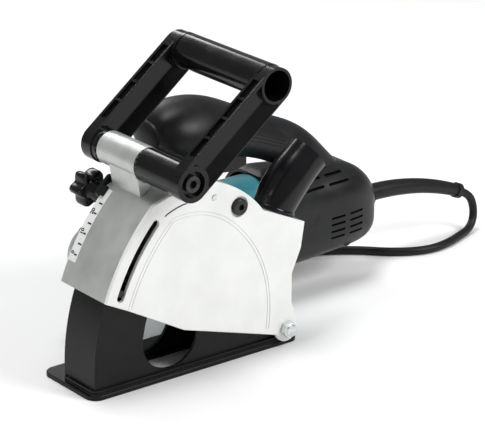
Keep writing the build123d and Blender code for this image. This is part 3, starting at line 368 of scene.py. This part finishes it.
def round_profile(count, radius, lobes=0, depth=0.0):
    """Radii round a closed outline, wavy where it has lobes."""
    return [radius + depth * math.cos(lobes * math.tau * index / count) for index in range(count)]


def ring_at(centre, first, second, radii):
    """Ring of points round a centre, in the plane of two unit directions."""
    count = len(radii)
    return [
        centre + radius * (math.cos(math.tau * i / count) * first + math.sin(math.tau * i / count) * second)
        for i, radius in enumerate(radii)
    ]


def thin_line(name, kind, places, radius, roundness, slot):
    """Round line through places on the wheel case's body, straight from place to place or smooth."""
    curve = bpy.data.curves.new(name, "CURVE")
    curve.dimensions = "3D"
    curve.bevel_depth = radius
    curve.bevel_resolution = roundness
    curve.resolution_u = 4
    spline = curve.splines.new(kind)
    spline.points.add(len(places) - 1)
    for point, place in zip(spline.points, places):
        point.co = (*place, 1.0)
    if kind == "NURBS":
        spline.order_u = 3
        spline.use_endpoint_u = True
    line = link(name, curve)
    paint(line, slot)
    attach(line, "case")


# ---------------------------------------------------------------- front handle
ARM_R = 0.0138  # rounded ends of the arms
ARM_WIDE = 0.0115
GRIP_GAP = 0.0002  # the grip's skin lies this far inside the arms' ends
GRIP_MIDDLE = 0.02
GRIP_POINTS = 64
BEAD_POINTS = 12
EDGE_BEAD_R = 0.0006
EDGE_INSET = 0.0005
EDGE_END = 0.004  # the polished edge stops this far short of the hub and of the grip


def grip_centre():
    """Centre line of the front grip, at the mid-plane."""
    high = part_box("front_handle")[1]
    return Vector((high.x - ARM_R, 0.0, high.z - ARM_R))


def add_grip_skin():
    """Smooth skin of the front grip between the two arms."""
    low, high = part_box("front_handle")
    grip = grip_centre()
    rings = [
        ring_at(Vector((grip.x, y, grip.z)), ALONG, UP, round_profile(GRIP_POINTS, ARM_R - GRIP_GAP))
        for y in (low.y + ARM_WIDE, -GRIP_MIDDLE, GRIP_MIDDLE, high.y - ARM_WIDE)
    ]
    add_mesh("grip_skin", skin(rings, closed_ends=False), "front_handle")


def add_arm_edges():
    """Polished front edge of each arm, on its cover side."""
    low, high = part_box("front_handle")
    grip = grip_centre()
    along = (grip - Vector((HUB.x, 0.0, HUB.z))).normalized()
    outward = Vector((-along.z, 0.0, along.x))
    polish = surface(
        "polished_edge_mat", (0.010, 0.010, 0.011), (0.014, 0.014, 0.015), (0.08, 0.14), specular=1.0,
    )
    outline = round_profile(BEAD_POINTS, EDGE_BEAD_R)
    for index, y in enumerate((low.y + EDGE_BEAD_R, high.y - ARM_WIDE + EDGE_BEAD_R)):
        ends = (Vector((HUB.x, y, HUB.z)) + along * EDGE_END, Vector((grip.x, y, grip.z)) - along * EDGE_END)
        rings = [
            ring_at(spot + outward * (ARM_R - EDGE_INSET), outward, ACROSS, outline)
            for spot in ends
        ]
        bead = add_mesh("arm_edge_%d" % index, skin(rings), "front_handle", angle=60.0)
        bead.data.materials[0] = polish


add_grip_skin()
add_arm_edges()

# ---------------------------------------------------------------- dust elbow
ELBOW_R = 0.0163
ELBOW_SWELL = 0.0010
SWELL_RATE = 1.15  # the swelling has gone a little before the mouth
ELBOW_LIP_R = 0.0150
ELBOW_BORE_R = 0.0144
ELBOW_STEPS = 24
BORE_STEPS = range(20, 5, -2)  # steps of the bend that the bore goes back over
KNEE_REACH = 0.0180
MOUTH_X = 0.0363
MOUTH_RISE = 0.1292
ELBOW_POINTS = 48
COLLAR = ((0.0002, 0.0172), (0.0010, 0.0178), (0.0024, 0.0178), (0.0034, 0.0170))  # reach and radius


def add_elbow():
    """Dust elbow as one smooth hollow bend from the port to the mouth, and the collar at its foot."""
    lean = PORT_AXIS.normalized()
    knee = PORT + lean * KNEE_REACH
    mouth = Vector((MOUTH_X, PORT.y, PIVOT.z + MOUTH_RISE))

    def ring(t, radius):
        middle = PORT * (1 - t) ** 2 + knee * 2 * t * (1 - t) + mouth * t**2
        heading = ((knee - PORT) * (1 - t) + (mouth - knee) * t).normalized()
        out = heading.cross(ACROSS).normalized()
        return ring_at(middle, out, ACROSS, round_profile(ELBOW_POINTS, radius))

    rings = []
    for step in range(ELBOW_STEPS + 1):
        t = step / ELBOW_STEPS
        rings.append(ring(t, ELBOW_R + ELBOW_SWELL * math.sin(math.pi * min(1.0, t * SWELL_RATE))))
    rings.append(ring(1.0, ELBOW_LIP_R))
    rings += [ring(step / ELBOW_STEPS, ELBOW_BORE_R) for step in BORE_STEPS]
    elbow = add_mesh("dust_elbow", skin(rings), "dust_nozzle", angle=50.0)
    collar = [
        ring_at(PORT + lean * reach, lean.cross(ACROSS), ACROSS, round_profile(ELBOW_POINTS, radius))
        for reach, radius in COLLAR
    ]
    add_mesh("dust_collar", skin(collar), "dust_nozzle", angle=50.0)
    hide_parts("dust_nozzle")


add_elbow()

# ---------------------------------------------------------------- stopper knob
KNOB_R = 0.0127
KNOB_POINTS = 96
KNOB_LOBES = 6
LOBE_DEPTH = 0.0019
# depth behind the knob's outer face, and share of its full outline
KNOB_PROFILE = ((0.0, 0.86), (0.0010, 0.95), (0.0028, 1.0), (0.0115, 1.0), (0.0140, 0.95), (0.0152, 0.84))
NECK_POINTS = 48
NECK_TOP = ((0.0150, 0.0088), (0.0175, 0.0076))  # depth behind the knob's outer face, and radius
NECK_FOOT = ((0.0004, 0.0074), (0.0, 0.0070))  # distance from the neck's end, and radius


def add_knob():
    """Lobed clamping knob with softened edges, and its neck."""
    low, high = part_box("stopper_knob")
    outline = round_profile(KNOB_POINTS, KNOB_R, KNOB_LOBES, LOBE_DEPTH)
    rings = [
        ring_at(Vector((KNOB.x, high.y - back, KNOB.z)), ALONG, UP, [scale * r for r in outline])
        for back, scale in KNOB_PROFILE
    ]
    knob = add_mesh("clamping_knob", skin(rings), "stopper_knob", angle=60.0)
    neck = [(high.y - back, radius) for back, radius in NECK_TOP]
    neck += [(low.y + rise, radius) for rise, radius in NECK_FOOT]
    rings = [
        ring_at(Vector((KNOB.x, y, KNOB.z)), ALONG, UP, round_profile(NECK_POINTS, radius))
        for y, radius in neck
    ]
    add_mesh("knob_neck", skin(rings), "stopper_knob", angle=60.0)
    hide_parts("stopper_knob")


add_knob()

# ---------------------------------------------------------------- rear handle and dome
LINE_STEP = 1.5  # mm between the places of a line on the handle
RIB_DROPS = (9.0, 6.0, 3.0, 0.0, -3.0)
RIB_R = 0.0004
GRIP_EDGE_R = 0.0005
PARTING_R = 0.0003
RAY_START = -0.3  # Y, well outside the cover side
NOSE_RISE = 0.141
NOSE_WIDE = 0.017
NOSE_HIGH = 0.012
NOSE_OUT = 0.0055
NOSE_RINGS = 8
NOSE_POINTS = 64


def near_surface(node):
    """Finder of the near surface of a node: Y of the first hit from the cover side."""
    mesh = NODES[node].data
    tree = BVHTree.FromPolygons([v.co for v in mesh.vertices], [p.vertices for p in mesh.polygons])

    def find(x, z):
        hit = tree.ray_cast(Vector((x, RAY_START, z)), ACROSS)[0]
        return hit.y if hit is not None else None

    return find


HANDLE_SIDE = near_surface("handle_shell_near")


def handle_line(name, points, radius):
    """Fine line moulded on the near side of the handle, from (X, height) points about the pivot in mm."""
    places = []
    for (x0, z0), (x1, z1) in zip(points, points[1:]):
        steps = max(2, int(math.hypot(x1 - x0, z1 - z0) / LINE_STEP))
        for step in range(steps):
            x = (x0 + (x1 - x0) * step / steps) * MM
            z = PIVOT.z + (z0 + (z1 - z0) * step / steps) * MM
            y = HANDLE_SIDE(x, z)
            if y is not None:
                places.append((x, y, z))
    thin_line(name, "POLY", places, radius, 2, "black_housing")


def add_handle_lines():
    """Soft grip's wavy edges, its ribs, and the parting line over the dome."""
    grip = [(20.0, 129.5), (40.0, 122.5), (56.0, 115.8), (66.0, 111.4)]
    for index, drop in enumerate(RIB_DROPS):
        handle_line("grip_rib_%d" % index, [(x, z + drop) for x, z in grip], RIB_R)
    rear_edge = [(66, 126), (70, 121), (76, 119), (76, 114), (82, 110), (82, 104), (88, 99)]
    handle_line("grip_edge", rear_edge, GRIP_EDGE_R)
    handle_line("grip_front_edge", [(12, 151), (15, 141), (12, 131), (16, 121), (14, 112)], GRIP_EDGE_R)
    handle_line("dome_parting", [(-34, 134.5), (-24, 141), (-11, 145), (18, 141)], PARTING_R)


def add_dome_nose():
    """Rounded front of the dome."""
    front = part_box("handle_shell_near")[0].x
    middle = Vector((front, MOTOR.y, PIVOT.z + NOSE_RISE))
    angles = [math.tau * index / NOSE_POINTS for index in range(NOSE_POINTS)]
    rings = []
    for step in range(NOSE_RINGS):
        turn = math.radians(90) * step / (NOSE_RINGS - 0.5)
        centre = middle - Vector((NOSE_OUT * math.sin(turn), 0.0, 0.0))
        shrink = math.cos(turn)
        rings.append([
            centre + ACROSS * (NOSE_WIDE * shrink * math.cos(a)) + UP * (NOSE_HIGH * shrink * math.sin(a))
            for a in angles
        ])
    add_mesh("dome_nose", skin(rings), "handle_shell_near", angle=70.0)


add_handle_lines()
add_dome_nose()

# ---------------------------------------------------------------- slit of the side cover
SLIT = ((-114.0, 117.7), (-105.0, 121.8), (-93.9, 123.4))  # (X, height) about the pivot, mm
SLIT_R = 0.0005
SLIT_SINK = 0.0004


def add_cover_slit():
    """Thin dark line laid into the side cover."""
    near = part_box("side_cover")[0].y + SLIT_SINK
    places = [(x * MM, near, PIVOT.z + z * MM) for x, z in SLIT]
    thin_line("cover_slit", "NURBS", places, SLIT_R, 1, "black_oxide")


add_cover_slit()

# ---------------------------------------------------------------- marks on the depth scale
SCALE_R = max(math.hypot(v.co.x - PIVOT.x, v.co.z - PIVOT.z) for v in NODES["depth_scale"].data.vertices)
TICK_START = 27.6  # degrees above the front line
TICK_STEP = 2.7
TICK_COUNT = 6
TICK_LENGTHS = (0.0032, 0.0044)  # by turns
TICK_THICK = 0.0012
TICK_INSET = 0.0030
FIGURE_COUNT = 4  # 0, 10, 20 and 30 mm, two tick steps apart
FIGURE_START = 27.9
FIGURE_SIZE = 0.0048
FIGURE_INSET = 0.0028
FIGURE_BOLD = 0.00012
PRINT_LIFT = 0.00012
TICK_DEPTH = 0.00006
FIGURE_DEPTH = 0.00004


def rim_frame(rise, y):
    """Matrix on the rim: local x runs along -Y, local y up the rim, local z outwards."""
    turn = math.radians(rise)
    radius = SCALE_R + PRINT_LIFT
    out = Vector((-math.cos(turn), 0.0, math.sin(turn)))
    up = Vector((math.sin(turn), 0.0, math.cos(turn)))
    along = Vector((0.0, -1.0, 0.0))
    frame_matrix = Matrix((along, up, out)).transposed().to_4x4()
    frame_matrix.translation = (
        PIVOT.x - radius * math.cos(turn), y, PIVOT.z + radius * math.sin(turn),
    )
    return frame_matrix


def tick_mesh(length, place):
    """Flat bar of a given length, moved to its place by a matrix."""
    mesh = bpy.data.meshes.new("tick")
    work = bmesh.new()
    bmesh.ops.create_cube(work, size=1.0)
    bmesh.ops.scale(work, vec=(length, TICK_THICK, TICK_DEPTH), verts=work.verts)
    bmesh.ops.transform(work, matrix=place, verts=work.verts)
    work.to_mesh(mesh)
    work.free()
    return mesh


def figure_curve(text):
    """Printed figure, centred on its own origin."""
    figure = bpy.data.curves.new("figure", "FONT")
    figure.body = text
    figure.size = FIGURE_SIZE
    figure.offset = FIGURE_BOLD
    figure.extrude = FIGURE_DEPTH
    figure.align_x = "CENTER"
    figure.align_y = "CENTER"
    return figure


def print_mark(mark, ink):
    """Ink and body of a mark on the scale."""
    mark.data.materials.append(ink)
    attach(mark, "case")


def add_scale_marks():
    """Tick lines and figures printed on the sticker of the depth scale."""
    low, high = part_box("depth_scale")
    ink = surface("ink_mat", (0.01, 0.01, 0.012), (0.02, 0.02, 0.022), (0.3, 0.4))
    for index in range(TICK_COUNT):
        place = rim_frame(TICK_START + TICK_STEP * index, low.y + TICK_INSET)
        print_mark(link("scale_tick_%d" % index, tick_mesh(TICK_LENGTHS[index % 2], place)), ink)
    for index in range(FIGURE_COUNT):
        text = str(10 * index)
        holder = link("scale_figure_" + text, figure_curve(text))
        place = rim_frame(FIGURE_START + 2 * TICK_STEP * index, high.y - FIGURE_INSET)
        holder.matrix_world = place @ Matrix.Rotation(math.radians(90), 4, "Z")
        print_mark(holder, ink)


add_scale_marks()

# ---------------------------------------------------------------- studio
FLOOR_SIZE = 14.0
AIM = (0, 0, 0.08)
WORLD_STRENGTH = 0.28
LIGHTS = {  # place, size and power
    "key": ((0.9, -1.5, 1.5), (0.9, 0.9), 30.0),
    "top": ((-0.1, 0.2, 1.9), (1.3, 0.5), 20.0),
    "left": ((-2.0, -0.3, 0.8), (0.5, 1.2), 7.0),
    "back": ((0.4, 1.9, 1.3), (1.2, 0.4), 12.0),
}


def add_floor():
    """Plain pale floor."""
    bpy.ops.mesh.primitive_plane_add(size=FLOOR_SIZE, location=(0, 0, 0))
    floor = bpy.context.object
    floor.name = "floor"
    floor.data.materials.append(new_material("floor_mat", (0.92, 0.92, 0.92), 0.7))


def add_light(name, place, size, power):
    """Soft rectangular light aimed at the tool."""
    lamp = bpy.data.lights.new(name, "AREA")
    lamp.shape = "RECTANGLE"
    lamp.size, lamp.size_y = size
    lamp.energy = power
    holder = link(name, lamp)
    holder.location = place
    holder.rotation_euler = (Vector(AIM) - Vector(place)).to_track_quat("-Z", "Y").to_euler()


def add_world():
    """Even white light from all round."""
    world = bpy.data.worlds.new("studio")
    bpy.context.scene.world = world
    world.use_nodes = True
    background = world.node_tree.nodes["Background"]
    background.inputs["Color"].default_value = (1.0, 1.0, 1.0, 1.0)
    background.inputs["Strength"].default_value = WORLD_STRENGTH


add_floor()
for name, (place, size, power) in LIGHTS.items():
    add_light(name, place, size, power)
add_world()
bpy.context.scene.view_settings.view_transform = "Standard"
